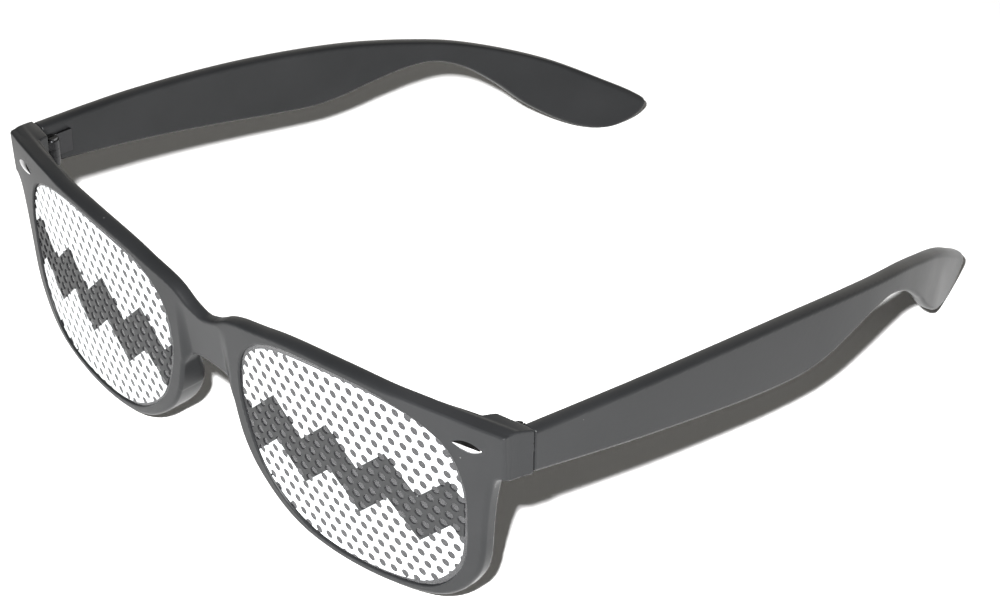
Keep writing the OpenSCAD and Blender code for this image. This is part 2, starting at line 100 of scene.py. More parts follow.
CORNER_X = LENS_X + LENS_W / 2 + END_W
CORNER_Y = float(face_y(CORNER_X))
JOINT_X, JOINT_Y = CORNER_X + LUG_FLARE, CORNER_Y + LUG_DEPTH
SWING_R = KNUCKLE_R + TURN_GAP
HINGE_X = JOINT_X - TEMPLE_T - SWING_R
HINGE_Y = JOINT_Y + HINGE_BACK
TEMPLE_Y = JOINT_Y + JOINT_GAP
TEMPLE_TOP = CORNER_TOP - 0.3
MID_Y = (TEMPLE_Y + TEMPLE_L) / 2
BLOCK_TOP = LEAN_Z + (CORNER_TOP - LEAN_Z) * LEAN_COS + (CORNER_Y - LEAN_Y) * LEAN_SIN

# Finer forms, which the solids leave out or have plainer

# How far the top edges of the brow and of a temple are crowned, from their middle to their sides
CROWN, TEMPLE_CROWN = 0.4, 0.3
# The brow's crown runs out between these places on the way to an end piece
CROWN_FULL, CROWN_GONE = HINGE_X - 24, HINGE_X - 11
# Heights between which the rims' edges turn into the brow's
RIM_EDGE_Z, BROW_EDGE_Z = LENS_Z + 8, BROW_TOP - 4
# The arch, squarer than a circle: its radius's power, its width's share, and its angle where the flank begins
ARCH_POWER, ARCH_SHARE, ARCH_TURN = 3.2, 0.94, 68.0
# The flank is drawn on to this many times its way from the arch to the rim's line
FLANK_ON = 1.7
# Softening of the hollow's sides, its height over the bridge where it runs out, and its most at the arch
HOLLOW_EASE, HOLLOW_OVER, HOLLOW_MOST = 0.7, 0.5, 1.1
# Fillets between rim and brow, between the arch and the rest, and between an end piece and the slab
OUTLINE_FILLET, ARCH_FILLET, BLOCK_FILLET = 0.8, 2.6, 0.4
# Roundings of the face's edge and of the back's, and how they change at the brow and on a nose pad
FACE_EDGE, FACE_EDGE_LESS, BACK_EDGE, BACK_EDGE_MORE = 0.75, 0.3, 0.3, 0.8
# Roundings of an end piece, of its edge at the joint, of the lens openings and of the worn foot
BLOCK_EDGE, JOINT_EDGE, OPENING_EDGE, FOOT_EDGE = 0.3, 0.12, 0.3, 0.1
# An end piece: reach of its thin heel inwards of the hinge, first rise of its top, and lift of its underside
HEEL_IN, LUG_RISE, UNDER_LIFT = 12.0, 1.9, 0.15
# The end pieces lie further out than this
BLOCK_FROM = HINGE_X - 14
# How far end pieces and nose pads keep from a lens opening, and the depth at which a nose pad begins
OPENING_CLEAR, PAD_ROOT = 1.2, 1.2
# A nose pad fades out between these places, and its slanted back counts for this share of its depth
PAD_FULL, PAD_GONE, PAD_SLANT = LENS_X - 19, LENS_X - 12, 0.8
# The nose pads lie nearer to the middle than this, and lower than this
PAD_NEAR_X, PAD_NEAR_Z = 30.0, 31.0
# How far below the rim's back the swell sinks where there is no pad, and the swell with the roundest edge
PAD_SUNK, PAD_ROUND = 0.5, 0.7
# Roundings of a temple's edges, what its tip has more, and the rounding of its flat end
TEMPLE_EDGE, TIP_EDGE_MORE, END_EDGE = 0.45, 0.75, 0.1
# A temple is rounder from this share of its length, and twisted from the next, by this slope about a height
TIP_FROM, TWIST_FROM, TIP_TWIST, TWIST_Z = 0.8, 0.72, 0.075, 10.0
# Fit of a lens in its opening, lift of a film off the lens, and the least that a hole reaches into the film
LENS_FIT, FILM_LIFT, HOLE_LAP = 0.03, 0.005, 0.15
# A rivet's crest, taller than in the solids, its fall along and across, and how deep its edge is sunk
RIVET_CREST, RIVET_FALL, RIVET_POWER, RIVET_SUNK = 1.2 * RIVET_RISE, 0.75, 1.3, 0.12

# Fineness: curve steps between an outline's points, corners of a hole, and points along and across a rivet
LENS_STEPS, BROW_STEPS, COVE_STEPS, PAD_STEPS, TEMPLE_STEPS, PLAN_STEPS = 14, 10, 6, 8, 10, 16
HOLE_CORNERS, RIVET_ALONG, RIVET_ACROSS = 20, 40, 16
FRONT_STEP, TEMPLE_STEP = ((0.37, 0.45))
LENS_STEP = 4.0


# Curves and distances

def curve(points, n, closed=False):
    """Catmull-Rom curve with n steps between points: each stretch is a cubic whose slope at a point is half
    the chord between the point's neighbours. The ends of an open curve count twice."""
    p = np.array(points, float)
    m = len(p)
    t = (np.arange(n) / n)[:, None]
    out = []
    for i in range(m if closed else m - 1):
        if closed:
            a, b, c, d = p[i - 1], p[i], p[(i + 1) % m], p[(i + 2) % m]
        else:
            a, b, c, d = p[max(i - 1, 0)], p[i], p[i + 1], p[min(i + 2, m - 1)]
        out.append(0.5 * (2 * b + (c - a) * t + (2 * a - 5 * b + 4 * c - d) * t ** 2
                          + (3 * b - a - 3 * c + d) * t ** 3))
    if not closed:
        out.append(p[-1:])
    return np.concatenate(out)


def normals_out(p):
    """Unit normals of a closed clockwise outline, square to the chord between a point's neighbours."""
    v = np.roll(p, -1, 0) - np.roll(p, 1, 0)
    return np.stack([-v[:, 1], v[:, 0]], 1) / np.linalg.norm(v, axis=1)[:, None]


def to_outline(x, z, outline):
    """Signed distance of points to a closed outline: the nearest edge's distance, negative inside. A point is
    inside where an odd number of edges lie to one side of it."""
    d2 = np.full(x.shape, 1e12)
    odd = np.zeros(x.shape, bool)
    for a, b in zip(outline, np.roll(outline, -1, 0)):
        e = b - a
        wx, wz = x - a[0], z - a[1]
        t = np.clip((wx * e[0] + wz * e[1]) / max(e @ e, 1e-12), 0, 1)
        d2 = np.minimum(d2, (wx - e[0] * t) ** 2 + (wz - e[1] * t) ** 2)
        if a[1] != b[1]:
            odd ^= ((a[1] > z) != (b[1] > z)) & (wx < wz * e[0] / e[1])
    return np.where(odd, -1, 1) * np.sqrt(d2)


def joined(a, b, k):
    """Union of two fields with a fillet: the lesser value, lowered where they are within k of each other."""
    h = np.maximum(k - np.abs(a - b), 0) / k
    return np.minimum(a, b) - h * h * k / 4


def common(a, b, r):
    """Overlap of two fields with their common edge rounded to radius r, which may differ between points."""
    u, v = a + r, b + r
    return np.hypot(np.maximum(u, 0), np.maximum(v, 0)) + np.minimum(np.maximum(u, v), 0) - r


def smooth_step(a, b, x):
    """Rises from 0 at a to 1 at b along a cubic."""
    t = np.clip((x - a) / (b - a), 0, 1)
    return t * t * (3 - 2 * t)


def leaned(p):
    """Turns points of the upright front about the lean line, its foot towards the face."""
    q = np.array(p, float)
    y, z = q[:, 1] - LEAN_Y, q[:, 2] - LEAN_Z
    q[:, 1] = LEAN_Y + y * LEAN_COS - z * LEAN_SIN
    q[:, 2] = LEAN_Z + y * LEAN_SIN + z * LEAN_COS
    return q


# Outlines of the front

# A lens opening's points, as shares of its half width and half height
LENS_SHAPE = [(-0.99, 0.28), (-0.91, 0.68), (-0.62, 0.93), (-0.1, 1), (0.4, 0.97), (0.82, 0.78), (0.98, 0.4),
              (0.995, -0.1), (0.93, -0.55), (0.7, -0.88), (0.3, -0.99), (-0.15, -0.98), (-0.5, -0.85),
              (-0.79, -0.53), (-0.94, -0.12)]
LENS_LINE = curve([(LENS_X + u * LENS_W / 2, LENS_Z + v * LENS_H / 2) for u, v in LENS_SHAPE],
                  LENS_STEPS, closed=True)
LENS_OUT = normals_out(LENS_LINE)


def grown(d):
    """The lens opening's outline moved out along its normals by d, one number or one for each point."""
    return LENS_LINE + LENS_OUT * np.reshape(d, (-1, 1))


def rim_line():
    """The rim's outline: its width goes from the side's to the brow's or the foot's as the normal turns."""
    side = np.where(LENS_OUT[:, 0] > 0, RIM_OUTER_W, RIM_NOSE_W)
    up = np.where(LENS_OUT[:, 1] > 0, BROW_H, RIM_LOW_W)
    return grown(side * LENS_OUT[:, 0] ** 2 + up * LENS_OUT[:, 1] ** 2)


RIM_LINE = rim_line()

# From the bridge's middle up to the brow: shares of the gap across, and of the bridge's drop up
SADDLE_SHAPE = [(0.15, 0.11), (0.225, 0.21), (0.29, 0.32), (0.365, 0.44), (0.475, 0.55), (0.65, 0.66)]
# Along the brow: shares of the lens's width from its middle, and of the bridge's drop down
BROW_SHAPE = [(-0.28, 0.15), (-0.02, 0.04), (0.235, 0)]
# The cove under an end piece: distances inwards from the corner and down, as shares of its radius
COVE_SHAPE = [(0, 0), (0.5, 0.1), (0.85, 0.6), (1.1, 1.6), (1.35, 3.1), (1.7, 4.7)]
# How far a nose pad stands out behind the rim, as a share of its reach, against its share of the height
PAD_SHAPE = [(-0.5, -0.04), (0.1, 0), (0.6, 0.09), (0.88, 0.2), (0.97, 0.36), (1, 0.52), (0.95, 0.7),
             (0.75, 0.87), (0.5, 1.0), (0.3, 1.12), (0.1, 1.22), (-0.5, 1.3)]


def brow_line():
    """Outline of the brow, the corner, its cove and the bridge's flank, closed behind the lens and past the
    middle."""
    saddle = [(u * GAP, BRIDGE_TOP + v * BRIDGE_DROP) for u, v in SADDLE_SHAPE]
    brow = [(LENS_X + u * LENS_W, BROW_TOP - v * BRIDGE_DROP) for u, v in BROW_SHAPE]
    past = -saddle[0][0]
    corner = [(CORNER_X - 1.1 * END_W, BROW_TOP - CORNER_DROP / 3), (CORNER_X, CORNER_TOP)]
    top = curve([(past, saddle[0][1]), (0, BRIDGE_TOP)] + saddle + brow + corner, BROW_STEPS)
    cove = curve([(CORNER_X - u * COVE_R, LUG_Z - v * COVE_R) for u, v in COVE_SHAPE], COVE_STEPS)
    turn = math.radians(ARCH_TURN)
    shoulder = np.array([ARCH_R * math.sin(turn), ARCH_Z + ARCH_R * math.cos(turn)])
    flank = shoulder + FLANK_ON * (RIM_LINE[(len(LENS_SHAPE) - 1) * LENS_STEPS] - shoulder)
    inner, outer = LENS_X - LENS_W / 2 + 3, LENS_X + LENS_W / 2 - 3
    rest = [(outer, LUG_Z - 5.6 * COVE_R), (outer, LENS_Z), (inner, LENS_Z), (inner, flank[1]), tuple(flank),
            tuple(shoulder), (past, shoulder[1])]
    return np.concatenate([top, cove, np.array(rest)])


def block_line():
    """An end piece seen from above: the front's eased corner, the face that meets the temple, and the slanted
    face at the hinge."""
    turn = math.radians(LUG_TURN)
    along = np.array([math.cos(turn), math.sin(turn)])
    foot = np.array([HINGE_X, HINGE_Y]) + SWING_R * np.array([along[1], -along[0]])
    heel, shelf = HINGE_X - HEEL_IN, HINGE_X - LUG_IN
    heel_y, shelf_y = float(face_y(heel)), float(face_y(shelf))
    edge = CORNER_Y + RIM_T / 4
    return np.array([(heel, heel_y + RIM_T / 2), (CORNER_X - 0.9, edge - 0.1), (CORNER_X - 0.35, edge + 0.15),
                     (CORNER_X + 0.05, edge + 0.6), (JOINT_X, JOINT_Y),
                     foot + along * (JOINT_Y - foot[1]) / along[1],
                     foot + along * (shelf - foot[0]) / along[0],
                     (shelf - LUG_IN / 3, shelf_y + RIM_T), (heel, heel_y + RIM_T - 0.2)])


BROW_LINE, BLOCK_LINE = brow_line(), block_line()
PAD_SWELL = curve([(u, PAD_LOW + v * PAD_H) for u, v in PAD_SHAPE], PAD_STEPS)


# Meshes

def net_points(f, inside):
    """One point in each cell that the field's zero crosses, at the mean of the crossings on the cell's edges.
    Returns the points, in grid steps, and the number of each cell's point."""
    shape = tuple(n - 1 for n in f.shape)
    corners = [(i, j, k) for i in (0, 1) for j in (0, 1) for k in (0, 1)]
    count = sum(inside[i:i + shape[0], j:j + shape[1], k:k + shape[2]].astype(np.int8) for i, j, k in corners)
    cells = np.argwhere((count > 0) & (count < 8))
    index = np.full(shape, -1)
    index[tuple(cells.T)] = np.arange(len(cells))
    total, hits = np.zeros((len(cells), 3)), np.zeros(len(cells))
    for n, a in enumerate(corners):
        for b in corners[n + 1:]:
            if sum(abs(u - v) for u, v in zip(a, b)) != 1:
                continue
            fa, fb = f[tuple((cells + a).T)], f[tuple((cells + b).T)]
            cut = (fa < 0) != (fb < 0)
            t = np.where(cut, fa / np.where(cut, fa - fb, 1), 0)
            total += (np.array(a) + t[:, None] * (np.array(b) - np.array(a))) * cut[:, None]
            hits += cut
    return cells + total / hits[:, None], index


def net_quads(inside, index):
    """A quad round each grid edge that the field's zero crosses, through the points of the four cells about
    the edge, facing out."""
    quads = []
    for k, (i, j) in enumerate(((1, 2), (2, 0), (0, 1))):
        window = [slice(1, -1)] * 3
        window[k] = slice(0, -1)
        here, ahead = inside[tuple(window)], np.roll(inside, -1, k)[tuple(window)]
        first = np.array([0 if m == k else 1 for m in range(3)])
        for crossed, order in ((here & ~ahead, 1), (~here & ahead, -1)):
            edge = np.argwhere(crossed) + first
            around = []
            for di, dj in ((-1, -1), (0, -1), (0, 0), (-1, 0)):
                cell = edge.copy()
                cell[:, i] += di
                cell[:, j] += dj
                around.append(index[tuple(cell.T)])
            quads.append(np.stack(around, 1)[:, ::order])
    return np.concatenate(quads)


def evened(points, quads):
    """Moves each point half of the way to the mean of its neighbours along the quads' edges."""
    ends = np.concatenate([quads[:, [0, 1]], quads[:, [1, 2]], quads[:, [2, 3]], quads[:, [3, 0]]])
    mean, n = np.zeros_like(points), np.zeros(len(points))
    for a, b in ((0, 1), (1, 0)):
        for c in range(3):
            mean[:, c] += np.bincount(ends[:, a], points[ends[:, b], c], len(points))
        n += np.bincount(ends[:, a], minlength=len(points))
    return points + 0.5 * (mean / n[:, None] - points)


def slope(p, field):
    """The field and its gradient at points, from four samples at the corners of a small tetrahedron."""
    h = 0.02
    total, grad = 0, np.zeros_like(p)
    for s in ((1, 1, 1), (1, -1, -1), (-1, 1, -1), (-1, -1, 1)):
        v = field(p + h * np.array(s))
        total = total + v / 4
        grad += v[:, None] * np.array(s) / (4 * h)
    return total, grad


def settled(p, field):
    """Moves points down the slope of a field onto its zero, twice: by the field's value over the slope's
    square, and by 0.3 mm at most along each axis."""
    for _ in range(2):
        value, grad = slope(p, field)
        move = value[:, None] * grad / np.maximum((grad ** 2).sum(1), 0.2)[:, None]
        p = p - np.clip(move, -0.3, 0.3)
    return p


def skin(on_grid, at, low, high, step):
    """The surface where a field is zero, as a net of quads: its points are moved onto the zero, evened out
    twice, and moved onto it again each time. The field is given on a grid and at points. Returns the points,
    the quads and the field's slope, which is the normal."""
    axes = [np.arange(a, b + s, s) for a, b, s in zip(low, high, step)]
    f = on_grid(*axes)
    points, index = net_points(f, f < 0)
    quads = net_quads(f < 0, index)
    points = settled(points * np.array(step) + np.array([a[0] for a in axes]), at)
    for _ in range(2):
        points = settled(evened(points, quads), at)
    return points, quads, slope(points, at)[1]


def piece(name, shape, material, body, node, mirror=False, smooth=True):
    """Makes an object from a shape: points in millimetres, faces, and normals if it has any of its own. It
    rides on a body, stands for a node and takes the given material as its finish. Mirrored, it is the right
    side's, and its faces are turned so that they face outwards."""
    points, faces, normals = shape
    side = -1 if mirror else 1
    placed = (points - [0, MID_Y, 0]) * [side, 1, 1] / 1000
    mesh = bpy.data.meshes.new(name)
    mesh.from_pydata(placed.tolist(), [], [f[::side] for f in faces])
    mesh.update()
    if smooth:
        mesh.shade_smooth()
    else:
        mesh.shade_flat()
    if normals is not None:
        n = normals * [side, 1, 1]
        n /= np.linalg.norm(n, axis=1)[:, None]
        mesh.normals_split_custom_set_from_vertices(n.tolist())
    mesh.materials.append(material)
    obj = bpy.data.objects.new(name, mesh)
    bpy.context.scene.collection.objects.link(obj)
    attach(obj, body)
    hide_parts(node)


# The front, in upright coordinates: x from the middle, depth d behind the bowed face, and height z

def front_outline(x, z, s_rim, s_brow):
    """Distance to the front's outline: rim and brow, less the arch. The arch is a superellipse: its width and
    its height from the middle, each taken to a power and added, give its radius to that power."""
    arch = (ARCH_SHARE * x) ** ARCH_POWER + np.abs(z - ARCH_Z) ** ARCH_POWER
    arch = arch ** (1 / ARCH_POWER) - ARCH_R
    return -joined(-joined(s_rim, s_brow, OUTLINE_FILLET), arch, ARCH_FILLET)


def slab_fields(x, d, z, s):
    """The slab inside an outline at distance s, first without a back and then whole. The bridge's face is
    hollowed by a smooth step across, less towards the top. The brow is thicker towards its top, where the
    edge is crowned by the square of the distance from the middle of the thickness."""
    hollow = HOLLOW_W / 2 - HOLLOW_EASE, HOLLOW_W / 2 + HOLLOW_SIDE + HOLLOW_EASE
    lip = HOLLOW * (1 - smooth_step(*hollow, x))
    lip = lip * np.clip((BRIDGE_TOP + HOLLOW_OVER - z) / BRIDGE_H, 0, HOLLOW_MOST)
    thick = np.clip(RIM_T - (BROW_TOP - z) * (RIM_T - RIM_LOW_T) / BROW_FALL, RIM_LOW_T, RIM_T)
    tilt = 1 / np.sqrt(1 + (np.maximum(x - FLAT_HALF, 0) / BOW_R) ** 2)
    high = smooth_step(RIM_EDGE_Z, BROW_EDGE_Z, z)
    crown = CROWN * high * (1 - smooth_step(CROWN_FULL, CROWN_GONE, x))
    side = s + crown * ((2 * d - lip - thick) / (thick - lip)) ** 2
    wall = common(side, (lip - d) * tilt, FACE_EDGE - FACE_EDGE_LESS * high)
    return wall, common(wall, (d - thick) * tilt, BACK_EDGE + BACK_EDGE_MORE * high)


def block_field(x, y, z, s_open):
    """An end piece: its plan, between its underside and a top that first rises and then falls to the joint,
    with the square of the depth. It is cut flat at the joint and kept clear of the lens opening."""
    p = leaned(np.stack([x, y, z], 1))
    t = (p[:, 1] - CORNER_Y) / LUG_DEPTH
    crest = BLOCK_TOP + LUG_FALL * (LUG_RISE * t - (1 + LUG_RISE) * t * t)
    f = common(to_outline(p[:, 0], p[:, 1], BLOCK_LINE), p[:, 2] - crest, BLOCK_EDGE)
    f = common(f, LUG_Z + UNDER_LIFT - p[:, 2], BLOCK_EDGE)
    f = common(f, p[:, 1] - JOINT_Y, JOINT_EDGE)
    return np.maximum(f, OPENING_CLEAR - s_open)


def pad_field(x, d, z, wall, s_open):
    """A nose pad: the slab's wall beside the nose, carried on behind the rim as far as its swell says. It
    fades out away from the nose, and its edge is rounder where it stands out more."""
    rise = np.interp(z, PAD_SWELL[:, 1], PAD_SWELL[:, 0])
    rise = rise - (rise + PAD_SUNK) * smooth_step(PAD_FULL, PAD_GONE, x)
    band = np.maximum(wall, OPENING_CLEAR - s_open)
    back = (d - RIM_LOW_T - PAD_REACH * rise) * PAD_SLANT
    fin = common(band, back, BACK_EDGE + BACK_EDGE_MORE * smooth_step(0, PAD_ROUND, rise))
    return np.maximum(fin, PAD_ROOT - d)


def front_field(x, d, z, s_rim, s_brow, s_open):
    """The front as a field, the same on both sides: the slab, joined to the end pieces and the nose pads,
    less the lens openings and what lies below the floor. The last three inputs are distances to outlines."""
    x = np.abs(x)
    y = d + face_y(x)
    wall, f = slab_fields(x, d, z, front_outline(x, z, s_rim, s_brow))
    out = x > BLOCK_FROM
    f[out] = joined(f[out], block_field(x[out], y[out], z[out], s_open[out]), BLOCK_FILLET)
    near = (x < PAD_NEAR_X) & (z < PAD_NEAR_Z)
    f[near] = np.minimum(f[near], pad_field(x[near], d[near], z[near], wall[near], s_open[near]))
    f = common(f, -s_open, OPENING_EDGE)
    floor = -(LEAN_Z + (y - LEAN_Y) * LEAN_SIN + (z - LEAN_Z) * LEAN_COS)
    return common(f, floor, FOOT_EDGE)


def front_outlines(x, z):
    """Distances to the rim's, the brow's and the lens opening's outline, the same on both sides."""
    return [to_outline(np.abs(x), z, line) for line in (RIM_LINE, BROW_LINE, LENS_LINE)]


def front_on_grid(xs, ds, zs):
    """The front's field on a grid, with the distances to its outlines worked out once for each x and z."""
    x, z = (a.ravel() for a in np.meshgrid(xs, zs, indexing="ij"))
    flat = front_outlines(x, z)
    out = np.empty((len(xs), len(ds), len(zs)), np.float32)
    for j, d in enumerate(ds):
        out[:, j, :] = front_field(x, np.full(x.shape, d), z, *flat).reshape(len(xs), len(zs))
    return out


def front_at(p):
    """The front's field at points."""
    return front_field(p[:, 0], p[:, 1], p[:, 2], *front_outlines(p[:, 0], p[:, 2]))


def front_shape():
    """The black front, bowed and leaned from its upright coordinates, with its normals."""
    half = CORNER_X + 2.5
    low, high = (-half, -0.93, -1.2), (half, 10.5, BROW_TOP + 1)
    p, quads, grad = skin(front_on_grid, front_at, low, high, (FRONT_STEP,) * 3)
    bow = np.maximum(np.abs(p[:, 0]) - FLAT_HALF, 0) / BOW_R * np.sign(p[:, 0])
    nx, ny, nz = grad[:, 0] - bow * grad[:, 1], grad[:, 1], grad[:, 2]
    normals = np.stack([nx, ny * LEAN_COS - nz * LEAN_SIN, ny * LEAN_SIN + nz * LEAN_COS], 1)
    p[:, 1] += face_y(p[:, 0])
    return leaned(p), quads.tolist(), normals


# The temples, straightened: u is the distance out from the middle of the thickness, s that behind the joint

def temple_line():
    """Side view of a temple, from 2 mm ahead of its joint to its tip: distance behind the joint, height."""
    top, low, bend = TEMPLE_TOP, LUG_Z + 0.25, TEMPLE_TOP - BEND_DROP
    upper = [(0, top), (0.16, top - 1.4), (0.34, top - 4), (0.51, top - 7.8), (0.65, bend + BEND_H),
             (0.74, bend + BEND_H - 4), (0.85, 19.6), (0.94, 11.6), (0.985, 7.2), (1, 4.8)]
    lower = [(0.99, 2.2), (0.965, 0.3), (0.93, -0.3), (0.88, 2.4), (0.82, 8.6), (0.77, 15.8), (0.72, 21.6),
             (0.67, bend - 0.2), (0.62, bend), (0.57, bend - 1), (0.5, top - 7.6 - TEMPLE_DEEP),
             (0.42, top - 6.8 - TEMPLE_DEEP), (0.2, low - 5), (0, low)]
    ring = curve([(s * TEMPLE_L, z) for s, z in upper + lower], TEMPLE_STEPS)
    return np.concatenate([[(-2, top + 0.1)], ring, [(-2, low + 0.4)]])


TEMPLE_LINE = temple_line()
# A temple's outer face seen from above: shares of its length, of its bow outwards and of its turn inwards
PLAN_SHAPE = [(0, 0, 0), (0.16, 0.55, 0), (0.33, 0.88, 0.04), (0.49, 1, 0.12), (0.59, 0.97, 0.2),
              (0.68, 0.87, 0.31), (0.76, 0.73, 0.45), (0.84, 0.54, 0.63), (0.92, 0.29, 0.83), (1, 0, 1)]
PLAN = curve([(s * TEMPLE_L, JOINT_X + TEMPLE_BOW * b - TIP_TURN * t) for s, b, t in PLAN_SHAPE], PLAN_STEPS)
PLAN_SLOPE = np.gradient(PLAN[:, 1], PLAN[:, 0])


def temple_field(u, s, side):
    """A temple as a field: the overlap of its side view, crowned by the square of the distance from the
    middle of the thickness, its thickness, rounder at the tip, and the flat end at the joint."""
    lean = np.interp(s, PLAN[:, 0], PLAN_SLOPE)
    tip = smooth_step(TIP_FROM * TEMPLE_L, TEMPLE_L, s)
    crown = side + TEMPLE_CROWN * (2 * u / TEMPLE_T) ** 2
    thick = np.abs(u) / np.sqrt(1 + lean ** 2) - TEMPLE_T / 2
    return common(common(crown, thick, TEMPLE_EDGE + TIP_EDGE_MORE * tip), -s, END_EDGE)


def temple_on_grid(us, ss, zs):
    """The temple's field on a grid, with the distance to its side view worked out once."""
    s, z = (a.ravel() for a in np.meshgrid(ss, zs, indexing="ij"))
    side = to_outline(s, z, TEMPLE_LINE)
    layers = [temple_field(np.full(s.shape, u), s, side).reshape(len(ss), len(zs)) for u in us]
    return np.stack(layers).astype(np.float32)


def temple_at(p):
    """The temple's field at points."""
    return temple_field(p[:, 0], p[:, 1], to_outline(p[:, 1], p[:, 2], TEMPLE_LINE))


def temple_shape():
    """A temple bent from its straightened coordinates, with its normals: bowed out, turned in at the tip, and
    twisted a little there. Its tip stays on the floor."""
    low, high = (-2.5, -1.1, -1.2), (2.6, TEMPLE_L + 1.2, TEMPLE_TOP + 1)
    p, quads, grad = skin(temple_on_grid, temple_at, low, high, (TEMPLE_STEP * 0.9, TEMPLE_STEP, TEMPLE_STEP))
    s = p[:, 1]
    lean = np.interp(s, PLAN[:, 0], PLAN_SLOPE)
    middle = np.interp(s, PLAN[:, 0], PLAN[:, 1]) - TEMPLE_T / 2 * np.sqrt(1 + lean ** 2)
    twist = TIP_TWIST * smooth_step(TWIST_FROM * TEMPLE_L, TEMPLE_L, s)
    x = middle + p[:, 0] + twist * (p[:, 2] - TWIST_Z)
    normals = np.stack([grad[:, 0], grad[:, 1] - lean * grad[:, 0], grad[:, 2] - twist * grad[:, 0]], 1)
    return np.stack([x, TEMPLE_Y + s, np.maximum(p[:, 2], 0)], 1), quads.tolist(), normals


# Lenses, films and rivets

# A lens is turned with the bow, and the axis of its cylinder stands square behind its middle
LENS_TURN = math.atan((LENS_X - FLAT_HALF) / BOW_R)
AXIS_X = LENS_X - LENS_R * math.sin(LENS_TURN)
AXIS_Y = float(face_y(LENS_X)) + LENS_SEAT + LENS_R * math.cos(LENS_TURN)


def on_sheet(xz, depth):
    """Places points of the front view on the lens's cylinder, a depth behind the lens's front."""
    y = AXIS_Y - np.sqrt((LENS_R - depth) ** 2 - (xz[:, 0] - AXIS_X) ** 2)
    return leaned(np.stack([xz[:, 0], y, xz[:, 1]], 1))


def sheet_shape(outline, cuts, front, back, inside_step):
    """A curved sheet with the given outline and round cut-outs: its front view is triangulated between its
    edges, put on two cylinders, and walled where a triangle has no neighbour."""
    points = [tuple(p) for p in outline]
    edges = [(i, (i + 1) % len(outline)) for i in range(len(outline))]
    for c in cuts:
        n = len(points)
        points += [tuple(p) for p in c]
        edges += [(n + i, n + (i + 1) % len(c)) for i in range(len(c))]
    if inside_step:
        (x0, z0), (x1, z1) = outline.min(0), outline.max(0)
        gx, gz = np.meshgrid(np.arange(x0, x1, inside_step), np.arange(z0, z1, inside_step))
        g = np.stack([gx.ravel(), gz.ravel()], 1)
        points += [tuple(p) for p in g[to_outline(g[:, 0], g[:, 1], outline) < -inside_step / 2]]
    verts, _, tris, *_ = delaunay_2d_cdt([Vector(p) for p in points], edges, [], 0, 1e-5)
    v, t = np.array([tuple(a) for a in verts]), np.array([tuple(a) for a in tris])
    middle = v[t].mean(1)
    keep = to_outline(middle[:, 0], middle[:, 1], outline) < 0
    for c in cuts:
        centre = c.mean(0)
        keep &= np.hypot(*(middle - centre).T) > np.linalg.norm(c[0] - centre) * 0.995
    t = t[keep]
    area = np.cross(v[t[:, 1]] - v[t[:, 0]], v[t[:, 2]] - v[t[:, 0]])
    t[area < 0] = t[area < 0][:, ::-1]
    n = len(v)
    a, b = np.concatenate([t[:, [0, 1]], t[:, [1, 2]], t[:, [2, 0]]]).T
    alone = ~np.isin(a * n + b, b * n + a)
    walls = np.stack([b, a, a + n, b + n], 1)[alone]
    faces = t.tolist() + (t[:, ::-1] + n).tolist() + walls.tolist()
    return np.concatenate([on_sheet(v, front), on_sheet(v, back)]), faces, None


def film_line():
    """The film's edge, hand cut: its margin wanders by three sines round the lens, by 0.4 mm at most."""
    a = np.arange(len(LENS_LINE)) / len(LENS_LINE) * 2 * math.pi
    wander = 0.22 * np.sin(2 * a + 0.6) + 0.12 * np.sin(5 * a + 2) + 0.07 * np.sin(9 * a)
    return grown(-(FILM_MARGIN + wander))


def film_holes(edge):
    """A lattice of round holes with each row set half a pitch from the next. A hole at the film's edge is
    kept where it reaches far enough into the film, and the edge cuts it."""
    row = HOLE_PITCH * math.sin(math.radians(60))
    nx, nz = math.ceil(LENS_W / 2 / HOLE_PITCH) + 1, math.ceil(LENS_H / 2 / row) + 1
    turn = np.arange(HOLE_CORNERS) * 2 * math.pi / HOLE_CORNERS
    ring = HOLE_D / 2 * np.stack([np.cos(turn), np.sin(turn)], 1)
    out = []
    for j in range(-nz, nz + 1):
        for i in range(-nx, nx + 1):
            c = np.array([LENS_X + (i + (abs(j) % 2) / 2) * HOLE_PITCH, LENS_Z + j * row])
            if to_outline(c[:1], c[1:], edge)[0] < HOLE_D / 2 - HOLE_LAP:
                out.append(c + ring)
    return out


def rivet_shape():
    """An almond rivet: two round arcs bound it. Its height falls from the crest by the square of the share of
    its half length, and by a power of the share of its half width. It stands square to the bowed face."""
    r = (RIVET_L ** 2 + RIVET_H ** 2) / (4 * RIVET_H)
    u = -np.cos(np.linspace(0, math.pi, RIVET_ALONG))
    v = -np.cos(np.linspace(0, math.pi, RIVET_ACROSS))
    x = RIVET_L / 2 * u
    half = np.sqrt(np.maximum(r * r - x * x, 0)) - (r - RIVET_H / 2)
    uu, vv = np.meshgrid(u, v, indexing="ij")
    px, pz = np.repeat(x, RIVET_ACROSS), (half[:, None] * vv).ravel()
    rise = RIVET_CREST * (1 - RIVET_FALL * uu ** 2) * (1 - np.abs(vv) ** RIVET_POWER)
    depth = RIVET_SUNK - rise.ravel()
    corner = (np.arange(RIVET_ALONG - 1)[:, None] * RIVET_ACROSS + np.arange(RIVET_ACROSS - 1)).ravel()
    faces = np.stack([corner, corner + RIVET_ACROSS, corner + RIVET_ACROSS + 1, corner + 1], 1)
    at = CORNER_X - RIVET_IN
    turn = math.atan((at - FLAT_HALF) / BOW_R)
    points = np.stack([at + px * math.cos(turn) - depth * math.sin(turn),
                       float(face_y(at)) + px * math.sin(turn) + depth * math.cos(turn),
                       CORNER_TOP - RIVET_DROP + pz], 1)
    return leaned(points), faces.tolist(), None


# Materials

def new_material(name):
    """A material with nodes: the material, its node tree and its Principled shader."""
    material = bpy.data.materials.new(name)
    material.use_nodes = True
    return material, material.node_tree, material.node_tree.nodes["Principled BSDF"]


